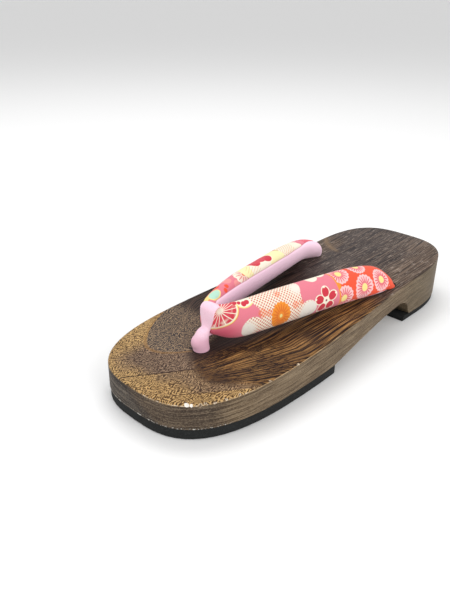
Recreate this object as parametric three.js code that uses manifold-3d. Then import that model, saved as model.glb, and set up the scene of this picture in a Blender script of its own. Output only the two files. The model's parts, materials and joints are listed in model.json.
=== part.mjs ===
// Geta sandal: a one-piece wooden sole on rubber outsoles, two padded straps and a toe thong.
// Millimetres, +Z up, floor at z = 0, toe towards -Y, origin on the floor under the sole's middle.
import * as THREE from 'three';
import { mergeVertices } from 'three/addons/utils/BufferGeometryUtils.js';
import Module from 'manifold-3d';

const wasm = await Module();
wasm.setup();

// Plan outline: a rounded toe, a rounded heel and gently narrowing sides between them.
const SOLE_LENGTH = 235;
const TOE_HALF_WIDTH = 43.5;
const HEEL_HALF_WIDTH = 38.2;
const TOE_ROUND_LENGTH = 73;
const HEEL_ROUND_LENGTH = 57;
const TOE_FULLNESS = 2.9;
const HEEL_FULLNESS = 3.05;
const STEPS_ROUND_END = 15;
const STEPS_STRAIGHT_SIDE = 8;

// Heights of the tread above the floor. It climbs to the heel and sags a little between the ends.
const TOE_HEIGHT = 18.9;
const HEEL_HEIGHT = 29.9;
const TREAD_SAG = 0.8;
const TOP_EDGE_RADIUS = 1.2;

// Rubber outsoles. Both lie on the floor, and a glue line keeps them off the wood.
const FRONT_RUBBER = 5.8;
const HEEL_RUBBER = 3.7;
const GLUE_LINE = 0.1;
const RUBBER_INSET = 0.3;
const RUBBER_BEVEL = 0.6;
const FRONT_RUBBER_END = -18.9;
const FRONT_RUBBER_CORNER = 1.4;
const HEEL_RUBBER_START = 57.6;
const HEEL_RUBBER_LEAN = 0.8;

// Arch under the waist, from the end of the front rubber up to a cove before the heel block.
const ARCH = { top: 49, height: 14.5, bulgeAlong: 22, bulgeUp: 13 };
const COVE = { bendAlong: 58.8, endAlong: 60.5, endUp: 7 };
const HEEL_BLOCK_START = 62.7;
const HEEL_FACE_LEAN = 0.7;

// Holes for the three roots of the straps, and the recess under the toe for the thong's knot.
const FRONT_HOLE = { radius: 4, along: -74.2 };
const REAR_HOLE = { radius: 5, out: 30.3, along: 46.4 };
const KNOT_RECESS = { radius: 11, top: 12.5 };
const HOLE_SEGMENTS = 24;

// Clearance between the fabric parts, and between them and the wood.
const FABRIC_GAP = 0.3;
const STRAP_SIDES = 20;
const STRAP_STEPS = 40;
const THONG_SIDES = 16;
const BULGE_STEPS = 14;
const BAND_STEPS = 38;
const CORD_SEGMENTS = 18;
const CAP_RINGS = 3;

// Padded straps, from the fork at the toe to the rear holes. A row is one section: the place of
// its centre, its half height and half thickness, and how far it leans in over the foot, in degrees.
const SECTION_COLUMNS = ['out', 'along', 'up', 'tall', 'thick', 'lean'];
const LEFT_STRAP = [
  [2.0, -66.4, 35.8, 7.4, 3.7, 11],
  [8.4, -58.2, 34.3, 8.9, 4.9, 12],
  [14.2, -35.8, 34.6, 9.4, 6.2, 15],
  [19.1, -10.2, 34.4, 9.1, 7.2, 23],
  [23.8, 14.3, 33.8, 9.1, 7.4, 36],
  [27.6, 32.6, 32.2, 8.7, 6.3, 53],
  [28.2, 41.0, 29.6, 7.6, 5.0, 69],
  [30.3, 45.0, 24.4, 5.0, 4.4, 84],
];
const RIGHT_STRAP = [
  [2.5, -66.4, 36.2, 7.6, 3.9, 11],
  [8.5, -57.6, 34.5, 8.8, 4.9, 12],
  [14.3, -35.9, 34.7, 9.5, 6.3, 15],
  [19.0, -10.1, 34.4, 9.4, 7.3, 22],
  [23.5, 14.5, 33.9, 9.2, 7.7, 35],
  [27.1, 34.0, 33.0, 8.8, 6.6, 52],
  [27.4, 43.6, 31.6, 8.2, 5.7, 63],
  [28.4, 49.6, 28.6, 7.0, 4.9, 74],
  [30.2, 50.2, 23.4, 5.0, 4.3, 84],
];

// Toe thong: a soft bulge over the front hole, and a band that wraps right round the fork.
const THONG_BULGE = [
  [0, -73.9, 20.2, 4.3, 4.3, 90],
  [0, -74.4, 24.4, 4.3, 4.3, 90],
  [0, -73.0, 28.2, 3.5, 3.2, 90],
  [0, -70.9, 30.6, 2.8, 1.5, 90],
  [0, -70.3, 32.4, 2.2, 0.7, 90],
];
const THONG_BAND = [
  [0, -71.6, 29.0, 2.2, 1.2, 90],
  [0, -70.5, 31.0, 3.0, 1.3, 90],
  [0, -70.1, 34.0, 3.9, 1.0, 90],
  [0, -70.0, 37.6, 4.7, 0.9, 90],
  [0, -69.3, 40.8, 5.1, 0.9, 90],
  [0, -66.9, 42.2, 5.0, 0.9, 90],
  [0, -64.4, 40.8, 4.0, 0.9, 90],
  [0, -63.3, 37.6, 2.8, 0.9, 90],
  [0, -63.2, 33.0, 2.6, 0.9, 90],
  [0, -64.2, 28.6, 2.7, 1.0, 90],
  [0, -66.8, 26.8, 2.8, 1.2, 90],
  [0, -69.4, 26.6, 2.7, 1.2, 90],
  [0, -72.0, 26.6, 2.4, 1.2, 90],
];

// Cord ends: radius and height, from the underside of the knot to the top inside the fabric.
const THONG_CORD = [[0, 7.4], [4, 7.6], [6.4, 9], [6.4, 10.6], [4, 11.9], [3.3, 13], [3.3, 22], [0, 25]];
const STRAP_CORD = [[0, 10.2], [3.6, 10.4], [5, 11.4], [5, 12.4], [3.9, 13.4], [4.2, 18], [4, 24], [0, 26]];

const named = (columns, rows) => rows.map(
  (row) => Object.fromEntries(columns.map((column, index) => [column, row[index]])));

// One side of the plan outline, from the tip of the toe to the tip of the heel.
function outlineSide() {
  const toe = -SOLE_LENGTH / 2;
  const toeEnd = toe + TOE_ROUND_LENGTH;
  const heelStart = -toe - HEEL_ROUND_LENGTH;
  const points = [];
  for (let step = 0; step <= STEPS_ROUND_END; step += 1) {
    const turn = (Math.PI / 2) * (step / STEPS_ROUND_END);
    points.push(new THREE.Vector2(
      TOE_HALF_WIDTH * Math.sin(turn) ** (2 / TOE_FULLNESS),
      toeEnd - TOE_ROUND_LENGTH * Math.max(Math.cos(turn), 0) ** (2 / TOE_FULLNESS)));
  }
  for (let step = 1; step < STEPS_STRAIGHT_SIDE; step += 1) {
    const share = step / STEPS_STRAIGHT_SIDE;
    points.push(new THREE.Vector2(
      THREE.MathUtils.lerp(TOE_HALF_WIDTH, HEEL_HALF_WIDTH, THREE.MathUtils.smoothstep(share, 0, 1)),
      THREE.MathUtils.lerp(toeEnd, heelStart, share)));
  }
  for (let step = STEPS_ROUND_END; step >= 0; step -= 1) {
    const turn = (Math.PI / 2) * (step / STEPS_ROUND_END);
    points.push(new THREE.Vector2(
      HEEL_HALF_WIDTH * Math.sin(turn) ** (2 / HEEL_FULLNESS),
      heelStart + HEEL_ROUND_LENGTH * Math.max(Math.cos(turn), 0) ** (2 / HEEL_FULLNESS)));
  }
  points[0].x = 0;
  points[points.length - 1].x = 0;
  return points;
}

// The whole outline, anticlockwise from above, set in from the edge by a distance.
function outline(inset) {
  const side = outlineSide();
  const mirrored = side.slice(1, -1).reverse().map((point) => new THREE.Vector2(-point.x, point.y));
  const points = [...side, ...mirrored];
  return points.map((point, index) => {
    const before = points[(index + points.length - 1) % points.length];
    const after = points[(index + 1) % points.length];
    const along = after.clone().sub(before).normalize();
    return new THREE.Vector2(point.x - along.y * inset, point.y + along.x * inset);
  });
}

// Height of the tread at a place along the sole.
function treadHeight(along) {
  const share = along / SOLE_LENGTH + 0.5;
  return THREE.MathUtils.lerp(TOE_HEIGHT, HEEL_HEIGHT, share) - 4 * TREAD_SAG * share * (1 - share);
}

function geometryFrom(positions, triangles) {
  const geometry = new THREE.BufferGeometry();
  geometry.setAttribute('position', new THREE.Float32BufferAttribute(positions, 3));
  geometry.setIndex(triangles);
  return geometry;
}

// Triangles of the walls between rings of equal count, each ring following the last.
function wallTriangles(ringCount, count) {
  const triangles = [];
  for (let ring = 0; ring + 1 < ringCount; ring += 1) {
    for (let index = 0; index < count; index += 1) {
      const next = (index + 1) % count;
      const low = ring * count;
      const high = low + count;
      triangles.push(low + index, low + next, high + next, low + index, high + next, high + index);
    }
  }
  return triangles;
}

// Strips that close an outline ring straight across the sole, facing up.
function stripTriangles(count) {
  const triangles = [];
  for (let right = 0; right < count / 2; right += 1) {
    const left = (count - right) % count;
    const leftNext = count - right - 1;
    if (right + 1 !== leftNext) triangles.push(right, right + 1, leftNext);
    if (right !== left) triangles.push(right, leftNext, left);
  }
  return triangles;
}

// A block with the sole's outline. A layer gives an inset and the height of each point of its ring.
function soleBlock(layers) {
  const rings = layers.map(({ inset, height }) => outline(inset).map(
    (point) => [point.x, point.y, height(point.y)]));
  const count = rings[0].length;
  const top = (rings.length - 1) * count;
  const strip = stripTriangles(count);
  const triangles = [
    ...wallTriangles(rings.length, count),
    ...strip.map((corner) => corner + top),
    ...strip.slice().reverse(),
  ];
  return geometryFrom(rings.flat(2), triangles);
}

// A prism across the whole width with a side profile drawn in the (along, up) plane.
function profilePrism(profile) {
  const width = 3 * TOE_HALF_WIDTH;
  const geometry = new THREE.ExtrudeGeometry(profile, {
    depth: width, bevelEnabled: false, curveSegments: 8 });
  geometry.translate(0, 0, -width / 2);
  geometry.applyMatrix4(new THREE.Matrix4().makeBasis(
    new THREE.Vector3(0, 1, 0), new THREE.Vector3(0, 0, 1), new THREE.Vector3(1, 0, 0)));
  return geometry;
}

// A solid turned about an upright axis, from a profile of radius and height pairs.
function turned(profile, segments, out, along) {
  const points = profile.map(([radius, up]) => new THREE.Vector2(radius, up));
  const geometry = new THREE.LatheGeometry(points, segments);
  geometry.rotateX(Math.PI / 2);
  geometry.translate(out, along, 0);
  return geometry;
}

// A padded body swept along a table of sections, with round caps. Growth thickens it all round.
function paddedBody(rows, sides, steps, growth = 0) {
  const sections = named(SECTION_COLUMNS, rows);
  const centres = new THREE.CatmullRomCurve3(
    sections.map(({ out, along, up }) => new THREE.Vector3(out, along, up)), false, 'catmullrom');
  const forms = new THREE.CatmullRomCurve3(
    sections.map(({ tall, thick, lean }) => new THREE.Vector3(tall, thick, lean)), false, 'catmullrom');
  const ringAt = (share, slide, shrink) => {
    const centre = centres.getPoint(share);
    const ahead = centres.getTangent(share);
    const { x: tall, y: thick, z: lean } = forms.getPoint(share);
    const leanAngle = THREE.MathUtils.degToRad(lean);
    const upright = new THREE.Vector3(-Math.sin(leanAngle), 0, Math.cos(leanAngle));
    upright.addScaledVector(ahead, -upright.dot(ahead)).normalize();
    const sideways = new THREE.Vector3().crossVectors(ahead, upright);
    centre.addScaledVector(ahead, slide * (thick + growth));
    return Array.from({ length: sides }, (_, index) => {
      const turn = (2 * Math.PI * index) / sides;
      return centre.clone()
        .addScaledVector(upright, (tall + growth) * shrink * Math.cos(turn))
        .addScaledVector(sideways, (thick + growth) * shrink * Math.sin(turn));
    });
  };
  const rings = [];
  const capAngles = Array.from({ length: CAP_RINGS }, (_, index) => (
    (Math.PI / 2) * ((index + 0.6) / (CAP_RINGS + 0.6))));
  capAngles.slice().reverse().forEach((angle) => rings.push(ringAt(0, -Math.sin(angle), Math.cos(angle))));
  for (let step = 0; step <= steps; step += 1) rings.push(ringAt(step / steps, 0, 1));
  capAngles.forEach((angle) => rings.push(ringAt(1, Math.sin(angle), Math.cos(angle))));
  const triangles = wallTriangles(rings.length, sides);
  const last = (rings.length - 1) * sides;
  for (let index = 1; index + 1 < sides; index += 1) {
    triangles.push(0, index + 1, index, last, last + index, last + index + 1);
  }
  return geometryFrom(rings.flat().flatMap((point) => point.toArray()), triangles);
}

// The same body on the other side of the sole's middle plane.
function mirroredAcross(geometry) {
  const position = geometry.getAttribute('position');
  for (let index = 0; index < position.count; index += 1) {
    position.setX(index, -position.getX(index));
  }
  geometry.setIndex(Array.from(geometry.getIndex().array).reverse());
  return geometry;
}

function solid(geometry) {
  const bare = geometry.clone();
  bare.deleteAttribute('normal');
  bare.deleteAttribute('uv');
  const merged = mergeVertices(bare, 1e-4);
  return new wasm.Manifold(new wasm.Mesh({
    numProp: 3,
    vertProperties: new Float32Array(merged.getAttribute('position').array),
    triVerts: new Uint32Array(merged.getIndex().array),
  }));
}

function piece(name, body, colour, roughness) {
  const { vertProperties, triVerts } = body.getMesh();
  const geometry = geometryFrom(Array.from(vertProperties), Array.from(triVerts));
  geometry.computeVertexNormals();
  const mesh = new THREE.Mesh(geometry, new THREE.MeshStandardMaterial({
    color: colour, roughness, metalness: 0 }));
  mesh.name = name;
  return mesh;
}

// Wooden sole: the outline block with a softened top edge, cut away for the front rubber, the
// arch, the cove and the three holes.
function woodSole() {
  const quarter = TOP_EDGE_RADIUS * (1 - Math.SQRT1_2);
  const block = solid(soleBlock([
    { inset: 0, height: () => HEEL_RUBBER + GLUE_LINE / 2 },
    { inset: 0, height: (along) => treadHeight(along) - TOP_EDGE_RADIUS },
    { inset: quarter, height: (along) => treadHeight(along) - quarter },
    { inset: TOP_EDGE_RADIUS, height: treadHeight },
  ]));
  return block.subtract(solid(profilePrism(underside()))).subtract(frontHole()).subtract(rearHoles());
}

// Everything under the wood, from in front of the toe to the heel block's front face.
function underside() {
  const front = -SOLE_LENGTH;
  const profile = new THREE.Shape();
  profile.moveTo(front, 0);
  profile.lineTo(HEEL_BLOCK_START + HEEL_RUBBER * HEEL_FACE_LEAN, 0);
  profile.lineTo(HEEL_BLOCK_START, HEEL_RUBBER);
  profile.lineTo(COVE.endAlong, COVE.endUp);
  profile.quadraticCurveTo(COVE.bendAlong, ARCH.height, ARCH.top, ARCH.height);
  profile.quadraticCurveTo(ARCH.bulgeAlong, ARCH.bulgeUp, FRONT_RUBBER_END, FRONT_RUBBER + GLUE_LINE / 2);
  profile.lineTo(front, FRONT_RUBBER + GLUE_LINE / 2);
  profile.closePath();
  return profile;
}

// The front hole is stepped: narrow through the tread, wide below for the thong's knot.
function frontHole() {
  return solid(turned([
    [0, -1], [KNOT_RECESS.radius, -1], [KNOT_RECESS.radius, KNOT_RECESS.top],
    [FRONT_HOLE.radius, KNOT_RECESS.top], [FRONT_HOLE.radius, HEEL_HEIGHT], [0, HEEL_HEIGHT],
  ], HOLE_SEGMENTS, 0, FRONT_HOLE.along));
}

// A straight bore through the whole height of the sole.
function bore(radius, out, along) {
  const height = 2 * HEEL_HEIGHT;
  const profile = [[0, -1], [radius, -1], [radius, height], [0, height]];
  return solid(turned(profile, HOLE_SEGMENTS, out, along));
}

function rearHoles(radius = REAR_HOLE.radius) {
  return bore(radius, REAR_HOLE.out, REAR_HOLE.along).add(bore(radius, -REAR_HOLE.out, REAR_HOLE.along));
}

// A rubber sheet with the sole's outline, a small bevel round the floor side, and cut to a profile.
function rubberSheet(thickness, profile) {
  const sheet = solid(soleBlock([
    { inset: RUBBER_INSET + RUBBER_BEVEL, height: () => 0 },
    { inset: RUBBER_INSET, height: () => RUBBER_BEVEL },
    { inset: RUBBER_INSET, height: () => thickness - GLUE_LINE / 2 },
  ]));
  return sheet.intersect(solid(profilePrism(profile)));
}

// Front rubber: up to the waist, with a rounded lower rear corner and the knot's opening.
function frontRubber() {
  const front = -SOLE_LENGTH;
  const profile = new THREE.Shape();
  profile.moveTo(front, -1);
  profile.lineTo(FRONT_RUBBER_END - FRONT_RUBBER_CORNER, -1);
  profile.lineTo(FRONT_RUBBER_END - FRONT_RUBBER_CORNER, 0);
  profile.quadraticCurveTo(FRONT_RUBBER_END, 0, FRONT_RUBBER_END, FRONT_RUBBER_CORNER);
  profile.lineTo(FRONT_RUBBER_END, 2 * FRONT_RUBBER);
  profile.lineTo(front, 2 * FRONT_RUBBER);
  profile.closePath();
  return rubberSheet(FRONT_RUBBER, profile).subtract(frontHole());
}

// Heel rubber: it starts ahead of the heel block, with a front face that leans forward a little.
function heelRubber() {
  const back = SOLE_LENGTH;
  const profile = new THREE.Shape();
  profile.moveTo(HEEL_RUBBER_START - HEEL_RUBBER_LEAN, -1);
  profile.lineTo(back, -1);
  profile.lineTo(back, 2 * HEEL_RUBBER);
  profile.lineTo(HEEL_RUBBER_START, 2 * HEEL_RUBBER);
  profile.lineTo(HEEL_RUBBER_START, HEEL_RUBBER);
  profile.lineTo(HEEL_RUBBER_START - HEEL_RUBBER_LEAN, 0);
  profile.closePath();
  return rubberSheet(HEEL_RUBBER, profile);
}

// The wood with a fabric gap above the tread and inside the holes, which trims the padding.
function woodClearance() {
  const profile = new THREE.Shape();
  const steps = 12;
  profile.moveTo(-SOLE_LENGTH / 2, 0);
  profile.lineTo(SOLE_LENGTH / 2, 0);
  for (let step = steps; step >= 0; step -= 1) {
    const along = SOLE_LENGTH * (step / steps - 0.5);
    profile.lineTo(along, treadHeight(along) + FABRIC_GAP);
  }
  profile.closePath();
  return solid(profilePrism(profile))
    .subtract(rearHoles(REAR_HOLE.radius - FABRIC_GAP))
    .subtract(bore(FRONT_HOLE.radius - FABRIC_GAP, 0, FRONT_HOLE.along));
}

// The thong's fabric. Growth thickens it all round, for the clearance it needs in the fork.
function thongFabric(growth = 0) {
  const bulge = solid(paddedBody(THONG_BULGE, THONG_SIDES, BULGE_STEPS, growth));
  return bulge.add(solid(paddedBody(THONG_BAND, THONG_SIDES, BAND_STEPS, growth)));
}

// Upper: both padded straps joined at the fork, each with its cord end down through a rear hole.
function strapUpper() {
  const left = solid(paddedBody(LEFT_STRAP, STRAP_SIDES, STRAP_STEPS));
  const right = solid(mirroredAcross(paddedBody(RIGHT_STRAP, STRAP_SIDES, STRAP_STEPS)));
  const padding = left.add(right).subtract(woodClearance()).subtract(thongFabric(FABRIC_GAP));
  const leftCord = solid(turned(STRAP_CORD, CORD_SEGMENTS, REAR_HOLE.out, REAR_HOLE.along));
  const rightCord = solid(turned(STRAP_CORD, CORD_SEGMENTS, -REAR_HOLE.out, REAR_HOLE.along));
  return padding.add(leftCord).add(rightCord);
}

// Toe thong: the band and bulge above the tread, and the knotted cord through the front hole.
function toeThong() {
  const fabric = thongFabric().subtract(woodClearance());
  return fabric.add(solid(turned(THONG_CORD, CORD_SEGMENTS, 0, FRONT_HOLE.along)));
}

const sole = new THREE.Group();
sole.add(
  piece('wood_sole', woodSole(), 0x5b4738, 0.55),
  piece('front_rubber', frontRubber(), 0x2b2b29, 0.85),
  piece('heel_rubber', heelRubber(), 0x2b2b29, 0.85));

const straps = new THREE.Group();
straps.add(
  piece('strap_upper', strapUpper(), 0xe8788f, 0.9),
  piece('toe_thong', toeThong(), 0xefb6cf, 0.92));

const geta = new THREE.Group();
geta.add(sole, straps);

export default geta;
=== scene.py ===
import json
import math

import bpy
import numpy as np
from mathutils import Matrix, Vector

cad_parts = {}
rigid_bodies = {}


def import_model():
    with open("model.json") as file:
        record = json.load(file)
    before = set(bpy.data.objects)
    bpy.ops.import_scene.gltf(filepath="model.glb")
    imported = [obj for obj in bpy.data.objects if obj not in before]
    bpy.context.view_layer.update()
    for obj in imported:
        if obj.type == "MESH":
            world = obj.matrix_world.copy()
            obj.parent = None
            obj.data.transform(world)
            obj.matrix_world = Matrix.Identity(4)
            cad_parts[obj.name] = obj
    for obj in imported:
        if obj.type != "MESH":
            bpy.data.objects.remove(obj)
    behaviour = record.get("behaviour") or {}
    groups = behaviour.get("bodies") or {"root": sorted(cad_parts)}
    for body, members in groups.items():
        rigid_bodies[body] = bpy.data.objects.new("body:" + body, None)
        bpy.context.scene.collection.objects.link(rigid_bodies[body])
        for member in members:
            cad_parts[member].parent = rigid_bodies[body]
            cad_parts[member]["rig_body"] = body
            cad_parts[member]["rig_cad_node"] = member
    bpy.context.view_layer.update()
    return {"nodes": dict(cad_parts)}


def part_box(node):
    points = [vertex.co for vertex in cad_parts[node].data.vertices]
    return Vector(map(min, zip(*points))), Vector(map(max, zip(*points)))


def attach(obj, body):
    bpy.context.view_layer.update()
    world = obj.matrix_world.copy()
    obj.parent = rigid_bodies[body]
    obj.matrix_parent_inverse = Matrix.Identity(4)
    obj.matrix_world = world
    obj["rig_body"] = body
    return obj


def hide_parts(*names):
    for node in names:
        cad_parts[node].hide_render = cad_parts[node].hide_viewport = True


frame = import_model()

bl_info = {
    "name": "Geta sandal",
    "version": (1, 0, 0),
    "blender": (4, 5, 0),
    "location": "View3D > Sidebar > Geta",
    "description": "Dresses a wooden geta sandal: sole, rubbers, padded straps, toe thong and stage",
    "category": "Object",
}

MM = 0.001
BODY = "root"

# The sole's plan outline, in millimetres, as in the part.
WOOD_LOW, WOOD_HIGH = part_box("wood_sole")
SOLE_LENGTH = (WOOD_HIGH.y - WOOD_LOW.y) / MM
TOE_HALF_WIDTH = WOOD_HIGH.x / MM
HEEL_HALF_WIDTH = 38.2
TOE_ROUND_LENGTH = 73.0
HEEL_ROUND_LENGTH = 57.0
TOE_FULLNESS = 2.9
HEEL_FULLNESS = 3.05
TOE_HEIGHT = 18.9
HEEL_HEIGHT = 29.9
TREAD_SAG = 0.8
WOOD_BOTTOM = WOOD_LOW.z / MM

# Underside profile and holes. The rear holes are slightly narrower and further forward than in the
# solid, so that the straps cover them as in the photograph.
FRONT_WOOD_BOTTOM = 5.85
FRONT_RUBBER_END = -18.9
ARCH_TOP, ARCH_HEIGHT = 49.0, 14.5
ARCH_BULGE = (22.0, 13.0)
COVE_BEND, COVE_END, COVE_END_UP = 58.8, 60.5, 7.0
HEEL_BLOCK_START, HEEL_FACE_LEAN = 62.7, 0.7
FRONT_HOLE_RADIUS, FRONT_HOLE_ALONG = 4.0, -74.2
REAR_HOLE_RADIUS, REAR_HOLE_OUT, REAR_HOLE_ALONG = 4.8, 30.3, 45.6
KNOT_RECESS_RADIUS, KNOT_RECESS_TOP = 11.0, 12.5

# Padded straps. A row is one section: its centre, half height, half thickness and lean in degrees.
# They differ from the solid's sections by up to 1 mm, fuller at the fork and the rear ends, and
# slimmer along the far strap, as the photograph shows.
NEAR_STRAP = [
    (2.0, -66.4, 35.2, 8.2, 3.9, 11), (8.4, -58.2, 34.0, 9.2, 5.0, 12),
    (14.2, -35.8, 34.6, 9.4, 6.2, 15), (19.1, -10.2, 34.4, 9.1, 7.2, 23),
    (23.8, 14.3, 33.8, 9.1, 7.4, 36), (27.6, 32.6, 32.2, 8.7, 6.3, 53),
    (28.2, 40.6, 29.6, 7.6, 5.1, 69), (30.3, 44.5, 24.4, 5.4, 5.0, 84),
]
FAR_STRAP = [
    (2.5, -66.4, 36.2, 7.6, 3.9, 11), (8.5, -57.6, 34.5, 8.8, 4.9, 12),
    (14.3, -35.9, 35.0, 9.5, 6.0, 16), (19.0, -10.1, 35.0, 9.4, 6.6, 25),
    (23.8, 14.5, 34.5, 9.2, 6.9, 38), (27.3, 34.0, 33.3, 8.8, 6.3, 53),
    (27.4, 43.8, 31.6, 8.2, 5.8, 63), (28.4, 50.2, 28.6, 7.0, 5.2, 74),
    (30.2, 50.4, 23.4, 5.0, 4.6, 84),
]
THONG_BULGE = [
    (0, -73.9, 20.2, 4.2, 4.2, 90), (0, -74.2, 24.4, 4.0, 4.0, 90), (0, -73.0, 28.2, 3.5, 3.2, 90),
    (0, -70.9, 30.6, 2.8, 1.5, 90), (0, -70.3, 32.4, 2.2, 0.7, 90),
]
THONG_BAND = [
    (0, -71.6, 29.0, 2.2, 1.2, 90), (0, -70.5, 31.0, 3.0, 1.3, 90), (0, -70.1, 34.0, 3.9, 1.0, 90),
    (0, -70.0, 37.6, 4.7, 0.9, 90), (0, -69.3, 40.8, 5.1, 0.9, 90), (0, -66.9, 42.2, 5.0, 0.9, 90),
    (0, -64.4, 40.8, 4.0, 0.9, 90), (0, -63.3, 37.6, 2.8, 0.9, 90), (0, -63.2, 33.0, 2.6, 0.9, 90),
    (0, -64.2, 28.6, 2.4, 1.0, 90), (0, -66.8, 27.2, 2.0, 1.1, 90), (0, -69.4, 27.2, 1.9, 1.1, 90),
    (0, -72.0, 27.0, 2.0, 1.2, 90),
]


def deselect_all():
    if bpy.context.object is not None and bpy.context.object.mode != "OBJECT":
        bpy.ops.object.mode_set(mode="OBJECT")
    bpy.ops.object.select_all(action="DESELECT")


def select_only(obj):
    deselect_all()
    obj.select_set(True)
    bpy.context.view_layer.objects.active = obj


def settle(obj):
    """Applies the object's place, turn and size, so that they are all in its mesh."""
    select_only(obj)
    bpy.ops.object.transform_apply(location=True, rotation=True, scale=True)
    return obj


def take_new(name):
    """The object that the last primitive made, renamed."""
    obj = bpy.context.object
    obj.name = name
    obj.data.name = name
    return obj


def coordinates(obj):
    values = np.empty(len(obj.data.vertices) * 3)
    obj.data.vertices.foreach_get("co", values)
    return values.reshape(-1, 3)


def place_vertices(obj, points):
    obj.data.vertices.foreach_set("co", np.asarray(points, float).ravel())
    obj.data.update()


def apply_modifier(obj, kind, **settings):
    """Adds one modifier with its settings and applies it."""
    select_only(obj)
    modifier = obj.modifiers.new(kind.title(), kind)
    for name, value in settings.items():
        setattr(modifier, name, value)
    bpy.ops.object.modifier_apply(modifier=modifier.name)
    return obj


def cut(obj, *cutters, **settings):
    for cutter in cutters:
        apply_modifier(obj, "BOOLEAN", object=cutter, solver="EXACT", **settings)
        bpy.data.objects.remove(cutter)
    return obj


def smooth(obj, degrees):
    select_only(obj)
    bpy.ops.object.shade_smooth_by_angle(angle=math.radians(degrees))
    return obj


def paint(obj, coat):
    obj.data.materials.clear()
    obj.data.materials.append(coat)
    return obj


def carry(obj, slot, *nodes):
    """The piece rides on the part and stands for its nodes; its slot is not used."""
    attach(obj, BODY)
    if nodes:
        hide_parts(*nodes)
    return obj


def tread_height(along):
    share = along / SOLE_LENGTH + 0.5
    rise = TOE_HEIGHT + (HEEL_HEIGHT - TOE_HEIGHT) * share
    return rise - 4 * TREAD_SAG * share * (1 - share)


def half_width(along):
    """Half the sole's width at each place along it, in millimetres."""
    along = np.asarray(along, float)
    toe_end = -SOLE_LENGTH / 2 + TOE_ROUND_LENGTH
    heel_start = SOLE_LENGTH / 2 - HEEL_ROUND_LENGTH
    toe_depth = np.clip((toe_end - along) / TOE_ROUND_LENGTH, 0, 1)
    heel_depth = np.clip((along - heel_start) / HEEL_ROUND_LENGTH, 0, 1)
    share = np.clip((along - toe_end) / (heel_start - toe_end), 0, 1)
    eased = share * share * (3 - 2 * share)
    middle = TOE_HALF_WIDTH + (HEEL_HALF_WIDTH - TOE_HALF_WIDTH) * eased
    toe = (1 - toe_depth ** TOE_FULLNESS) ** (1 / TOE_FULLNESS)
    heel = (1 - heel_depth ** HEEL_FULLNESS) ** (1 / HEEL_FULLNESS)
    return middle * toe * heel


def outline_points(count):
    """Points round the sole's plan outline, evenly spaced along its edge, anticlockwise."""
    turns = np.linspace(0, math.pi, 4000)
    along = -SOLE_LENGTH / 2 * np.cos(turns)
    side = np.stack([half_width(along), along], 1)
    ring = np.vstack([side, side[-2:0:-1] * (-1, 1)])
    closed = np.vstack([ring, ring[:1]])
    walked = np.concatenate([[0], np.cumsum(np.linalg.norm(np.diff(closed, axis=0), axis=1))])
    wanted = np.arange(count) * walked[-1] / count
    return np.stack([np.interp(wanted, walked, closed[:, axis]) for axis in (0, 1)], 1)


def turn_faces_outward():
    """Makes all normals of the mesh being edited point outward, and leaves edit mode."""
    bpy.ops.mesh.select_all(action="SELECT")
    bpy.ops.mesh.normals_make_consistent(inside=False)
    bpy.ops.object.mode_set(mode="OBJECT")


def extrude_all(offset):
    """Extrudes the flat mesh being edited into a block, and leaves edit mode."""
    bpy.ops.mesh.select_all(action="SELECT")
    bpy.ops.mesh.extrude_region_move(TRANSFORM_OT_translate={"value": offset})
    turn_faces_outward()


def profile_block(name, profile, width):
    """A block across the sole, extruded from a side profile of (along, up) points."""
    deselect_all()
    bpy.ops.mesh.primitive_circle_add(vertices=len(profile), radius=1, fill_type="NGON")
    block = take_new(name)
    place_vertices(block, [(-width / 2 * MM, along * MM, up * MM) for along, up in profile])
    bpy.ops.object.mode_set(mode="EDIT")
    extrude_all((width * MM, 0, 0))
    return block


def bore(name, radius, out, along, high):
    """A drill from the floor up to a height, at a place on the sole."""
    deselect_all()
    bpy.ops.mesh.primitive_cylinder_add(
        vertices=64, radius=radius * MM, depth=high * MM,
        location=(out * MM, along * MM, high / 2 * MM))
    return settle(take_new(name))


def curve_between(start, bend, end, steps):
    """Points of one quadratic curve, without its start."""
    shares = [(step + 1) / steps for step in range(steps)]
    return [tuple((1 - t) ** 2 * a + 2 * t * (1 - t) * b + t * t * c
                  for a, b, c in zip(start, bend, end)) for t in shares]


def underside_profile():
    """Everything below the wood: in front of the toe, the arch, the cove and the heel block's face."""
    front = -SOLE_LENGTH
    cove_end = (COVE_END, COVE_END_UP)
    arch_top = (ARCH_TOP, ARCH_HEIGHT)
    profile = [(front, -10.0), (HEEL_BLOCK_START + (WOOD_BOTTOM + 10.0) * HEEL_FACE_LEAN, -10.0),
               (HEEL_BLOCK_START, WOOD_BOTTOM), cove_end]
    profile += curve_between(cove_end, (COVE_BEND, ARCH_HEIGHT), arch_top, 10)
    profile += curve_between(arch_top, ARCH_BULGE, (FRONT_RUBBER_END, FRONT_WOOD_BOTTOM), 24)
    profile.append((front, FRONT_WOOD_BOTTOM))
    return profile


def outline_block(name, count, bands):
    """A flat block with the sole's outline, cut into bands across, from floor to a fixed height."""
    deselect_all()
    bpy.ops.mesh.primitive_circle_add(vertices=count, radius=1, fill_type="NGON")
    block = take_new(name)
    points = outline_points(count)
    place_vertices(block, [(x * MM, y * MM, 0) for x, y in points])
    bpy.ops.object.mode_set(mode="EDIT")
    for band in range(1, bands):
        along = (band / bands - 0.5) * SOLE_LENGTH * MM
        bpy.ops.mesh.select_all(action="SELECT")
        bpy.ops.mesh.bisect(plane_co=(0, along, 0), plane_no=(0, 1, 0))
    extrude_all((0, 0, HEEL_HEIGHT * MM))
    return block


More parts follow.
